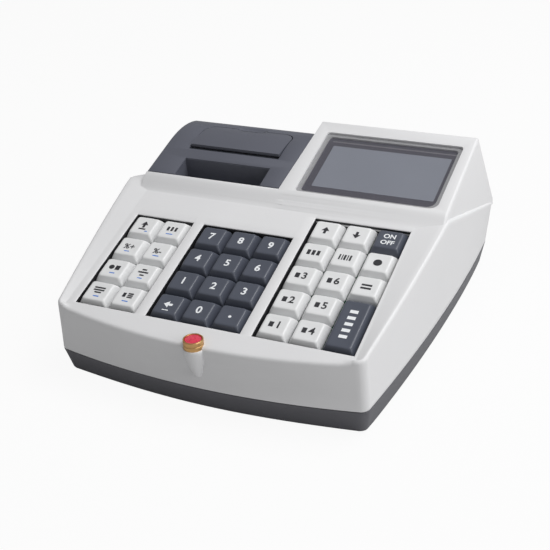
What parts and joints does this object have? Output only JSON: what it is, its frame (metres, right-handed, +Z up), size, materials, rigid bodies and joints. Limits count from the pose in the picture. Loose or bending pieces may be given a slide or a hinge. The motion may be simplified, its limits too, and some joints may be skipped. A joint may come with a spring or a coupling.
{
  "type": "ticket register",
  "caption": "Small electronic ticket register: wedge-shaped housing with a sloping keypad, a display pod, a receipt printer with a paper lid, and a dark base tray.",
  "frame": {"origin": "centre of the footprint, on the surface that the feet stand on", "axes": "+Z up, +Y from the user towards the back, +X to the user's right"},
  "size_m": [0.212, 0.2384, 0.1001],
  "materials": {
    "light_shell": "fine satin, moulded",
    "dark_shell": "fine satin, moulded",
    "light_key": "satin",
    "dark_key": "satin",
    "board_green": "solder mask",
    "black_rubber": "matte",
    "grey_rubber": "matte",
    "steel": "plain sheet and turned steel",
    "brass": "satin",
    "red_wax": "smooth sealing wax",
    "white_paper": "thermal paper, matte",
    "white_gear": "moulded",
    "smoked_lens": "clear, smoked",
    "lcd_grey": "unlit liquid crystal panel",
    "blue_wrap": "shrink wrap",
    "black_plastic": "moulded"
  },
  "bodies": {
    "register": {"upper_housing": "light_shell", "base_tray": "dark_shell", "printer_cover": "dark_shell", "tear_bar": "steel", "printer_frame": "steel", "print_head": "steel", "feed_motor": "steel", "display_window": "smoked_lens", "display_module": "lcd_grey", "keyboard_board": "board_green", "key_mat": "grey_rubber", "main_board": "board_green", "battery_pack": "blue_wrap", "seal_cup": "brass", "seal_wax": "red_wax", "foot_front_left": "black_rubber", "foot_rear_left": "black_rubber", "foot_front_right": "black_rubber", "foot_rear_right": "black_rubber", "rear_sockets": "black_plastic"},
    "platen": {"platen_roller": "black_rubber", "platen_shaft": "steel", "platen_gear": "white_gear"},
    "motor_gear": {"motor_gear": "brass"},
    "paper_roll": {"paper_roll": "white_paper"},
    "paper_lid": {"paper_lid": "dark_shell"},
    "key_function": {"key_function": "light_key"},
    "key_quantity": {"key_quantity": "light_key"},
    "key_price": {"key_price": "light_key"},
    "key_void": {"key_void": "light_key"},
    "key_percent_plus": {"key_percent_plus": "light_key"},
    "key_percent_minus": {"key_percent_minus": "light_key"},
    "key_feed": {"key_feed": "light_key"},
    "key_mode": {"key_mode": "light_key"},
    "key_clear": {"key_clear": "dark_key"},
    "key_0": {"key_0": "dark_key"},
    "key_point": {"key_point": "dark_key"},
    "key_1": {"key_1": "dark_key"},
    "key_2": {"key_2": "dark_key"},
    "key_3": {"key_3": "dark_key"},
    "key_4": {"key_4": "dark_key"},
    "key_5": {"key_5": "dark_key"},
    "key_6": {"key_6": "dark_key"},
    "key_7": {"key_7": "dark_key"},
    "key_8": {"key_8": "dark_key"},
    "key_9": {"key_9": "dark_key"},
    "key_d1": {"key_d1": "light_key"},
    "key_d4": {"key_d4": "light_key"},
    "key_total": {"key_total": "dark_key"},
    "key_d2": {"key_d2": "light_key"},
    "key_d5": {"key_d5": "light_key"},
    "key_d3": {"key_d3": "light_key"},
    "key_d6": {"key_d6": "light_key"},
    "key_subtotal": {"key_subtotal": "light_key"},
    "key_department": {"key_department": "light_key"},
    "key_lookup": {"key_lookup": "light_key"},
    "key_pay": {"key_pay": "light_key"},
    "key_up": {"key_up": "light_key"},
    "key_down": {"key_down": "light_key"},
    "key_power": {"key_power": "dark_key"}
  },
  "joints": [
    {"name": "platen_turn", "type": "hinge", "parent": "register", "child": "platen", "pos_m": [-0.0445, 0.01925, 0.065], "axis": [1, 0, 0], "continuous": true},
    {"name": "motor_turn", "type": "hinge", "parent": "register", "child": "motor_gear", "pos_m": [-0.07955, 0.01925, 0.0512], "axis": [1, 0, 0], "continuous": true},
    {"name": "roll_turn", "type": "hinge", "parent": "register", "child": "paper_roll", "pos_m": [-0.0445, 0.05005, 0.069], "axis": [1, 0, 0], "continuous": true},
    {"name": "lid_swing", "type": "hinge", "parent": "register", "child": "paper_lid", "pos_m": [-0.0445, 0.03625, 0.08633], "axis": [1, 0, 0], "range_deg": [0, 95]},
    {"name": "key_function_press", "type": "slide", "parent": "register", "child": "key_function", "axis": [0, 0.2756, -0.9613], "range_m": [0, 0.0025], "stiffness_N_per_m": 180, "springref_m": -0.001},
    {"name": "key_quantity_press", "type": "slide", "parent": "register", "child": "key_quantity", "axis": [0, 0.2756, -0.9613], "range_m": [0, 0.0025], "stiffness_N_per_m": 180, "springref_m": -0.001},
    {"name": "key_price_press", "type": "slide", "parent": "register", "child": "key_price", "axis": [0, 0.2756, -0.9613], "range_m": [0, 0.0025], "stiffness_N_per_m": 180, "springref_m": -0.001},
    {"name": "key_void_press", "type": "slide", "parent": "register", "child": "key_void", "axis": [0, 0.2756, -0.9613], "range_m": [0, 0.0025], "stiffness_N_per_m": 180, "springref_m": -0.001},
    {"name": "key_percent_plus_press", "type": "slide", "parent": "register", "child": "key_percent_plus", "axis": [0, 0.2756, -0.9613], "range_m": [0, 0.0025], "stiffness_N_per_m": 180, "springref_m": -0.001},
    {"name": "key_percent_minus_press", "type": "slide", "parent": "register", "child": "key_percent_minus", "axis": [0, 0.2756, -0.9613], "range_m": [0, 0.0025], "stiffness_N_per_m": 180, "springref_m": -0.001},
    {"name": "key_feed_press", "type": "slide", "parent": "register", "child": "key_feed", "axis": [0, 0.2756, -0.9613], "range_m": [0, 0.0025], "stiffness_N_per_m": 180, "springref_m": -0.001},
    {"name": "key_mode_press", "type": "slide", "parent": "register", "child": "key_mode", "axis": [0, 0.2756, -0.9613], "range_m": [0, 0.0025], "stiffness_N_per_m": 180, "springref_m": -0.001},
    {"name": "key_clear_press", "type": "slide", "parent": "register", "child": "key_clear", "axis": [0, 0.2756, -0.9613], "range_m": [0, 0.0025], "stiffness_N_per_m": 180, "springref_m": -0.001},
    {"name": "key_0_press", "type": "slide", "parent": "register", "child": "key_0", "axis": [0, 0.2756, -0.9613], "range_m": [0, 0.0025], "stiffness_N_per_m": 180, "springref_m": -0.001},
    {"name": "key_point_press", "type": "slide", "parent": "register", "child": "key_point", "axis": [0, 0.2756, -0.9613], "range_m": [0, 0.0025], "stiffness_N_per_m": 180, "springref_m": -0.001},
    {"name": "key_1_press", "type": "slide", "parent": "register", "child": "key_1", "axis": [0, 0.2756, -0.9613], "range_m": [0, 0.0025], "stiffness_N_per_m": 180, "springref_m": -0.001},
    {"name": "key_2_press", "type": "slide", "parent": "register", "child": "key_2", "axis": [0, 0.2756, -0.9613], "range_m": [0, 0.0025], "stiffness_N_per_m": 180, "springref_m": -0.001},
    {"name": "key_3_press", "type": "slide", "parent": "register", "child": "key_3", "axis": [0, 0.2756, -0.9613], "range_m": [0, 0.0025], "stiffness_N_per_m": 180, "springref_m": -0.001},
    {"name": "key_4_press", "type": "slide", "parent": "register", "child": "key_4", "axis": [0, 0.2756, -0.9613], "range_m": [0, 0.0025], "stiffness_N_per_m": 180, "springref_m": -0.001},
    {"name": "key_5_press", "type": "slide", "parent": "register", "child": "key_5", "axis": [0, 0.2756, -0.9613], "range_m": [0, 0.0025], "stiffness_N_per_m": 180, "springref_m": -0.001},
    {"name": "key_6_press", "type": "slide", "parent": "register", "child": "key_6", "axis": [0, 0.2756, -0.9613], "range_m": [0, 0.0025], "stiffness_N_per_m": 180, "springref_m": -0.001},
    {"name": "key_7_press", "type": "slide", "parent": "register", "child": "key_7", "axis": [0, 0.2756, -0.9613], "range_m": [0, 0.0025], "stiffness_N_per_m": 180, "springref_m": -0.001},
    {"name": "key_8_press", "type": "slide", "parent": "register", "child": "key_8", "axis": [0, 0.2756, -0.9613], "range_m": [0, 0.0025], "stiffness_N_per_m": 180, "springref_m": -0.001},
    {"name": "key_9_press", "type": "slide", "parent": "register", "child": "key_9", "axis": [0, 0.2756, -0.9613], "range_m": [0, 0.0025], "stiffness_N_per_m": 180, "springref_m": -0.001},
    {"name": "key_d1_press", "type": "slide", "parent": "register", "child": "key_d1", "axis": [0, 0.2756, -0.9613], "range_m": [0, 0.0025], "stiffness_N_per_m": 180, "springref_m": -0.001},
    {"name": "key_d4_press", "type": "slide", "parent": "register", "child": "key_d4", "axis": [0, 0.2756, -0.9613], "range_m": [0, 0.0025], "stiffness_N_per_m": 180, "springref_m": -0.001},
    {"name": "key_total_press", "type": "slide", "parent": "register", "child": "key_total", "axis": [0, 0.2756, -0.9613], "range_m": [0, 0.0025], "stiffness_N_per_m": 180, "springref_m": -0.001},
    {"name": "key_d2_press", "type": "slide", "parent": "register", "child": "key_d2", "axis": [0, 0.2756, -0.9613], "range_m": [0, 0.0025], "stiffness_N_per_m": 180, "springref_m": -0.001},
    {"name": "key_d5_press", "type": "slide", "parent": "register", "child": "key_d5", "axis": [0, 0.2756, -0.9613], "range_m": [0, 0.0025], "stiffness_N_per_m": 180, "springref_m": -0.001},
    {"name": "key_d3_press", "type": "slide", "parent": "register", "child": "key_d3", "axis": [0, 0.2756, -0.9613], "range_m": [0, 0.0025], "stiffness_N_per_m": 180, "springref_m": -0.001},
    {"name": "key_d6_press", "type": "slide", "parent": "register", "child": "key_d6", "axis": [0, 0.2756, -0.9613], "range_m": [0, 0.0025], "stiffness_N_per_m": 180, "springref_m": -0.001},
    {"name": "key_subtotal_press", "type": "slide", "parent": "register", "child": "key_subtotal", "axis": [0, 0.2756, -0.9613], "range_m": [0, 0.0025], "stiffness_N_per_m": 180, "springref_m": -0.001},
    {"name": "key_department_press", "type": "slide", "parent": "register", "child": "key_department", "axis": [0, 0.2756, -0.9613], "range_m": [0, 0.0025], "stiffness_N_per_m": 180, "springref_m": -0.001},
    {"name": "key_lookup_press", "type": "slide", "parent": "register", "child": "key_lookup", "axis": [0, 0.2756, -0.9613], "range_m": [0, 0.0025], "stiffness_N_per_m": 180, "springref_m": -0.001},
    {"name": "key_pay_press", "type": "slide", "parent": "register", "child": "key_pay", "axis": [0, 0.2756, -0.9613], "range_m": [0, 0.0025], "stiffness_N_per_m": 180, "springref_m": -0.001},
    {"name": "key_up_press", "type": "slide", "parent": "register", "child": "key_up", "axis": [0, 0.2756, -0.9613], "range_m": [0, 0.0025], "stiffness_N_per_m": 180, "springref_m": -0.001},
    {"name": "key_down_press", "type": "slide", "parent": "register", "child": "key_down", "axis": [0, 0.2756, -0.9613], "range_m": [0, 0.0025], "stiffness_N_per_m": 180, "springref_m": -0.001},
    {"name": "key_power_press", "type": "slide", "parent": "register", "child": "key_power", "axis": [0, 0.2756, -0.9613], "range_m": [0, 0.0025], "stiffness_N_per_m": 180, "springref_m": -0.001}
  ],
  "couplings": [
    {"joint": "motor_turn", "follows": "platen_turn", "ratio": -2.4},
    {"joint": "roll_turn", "follows": "platen_turn", "ratio": 0.37931}
  ]
}
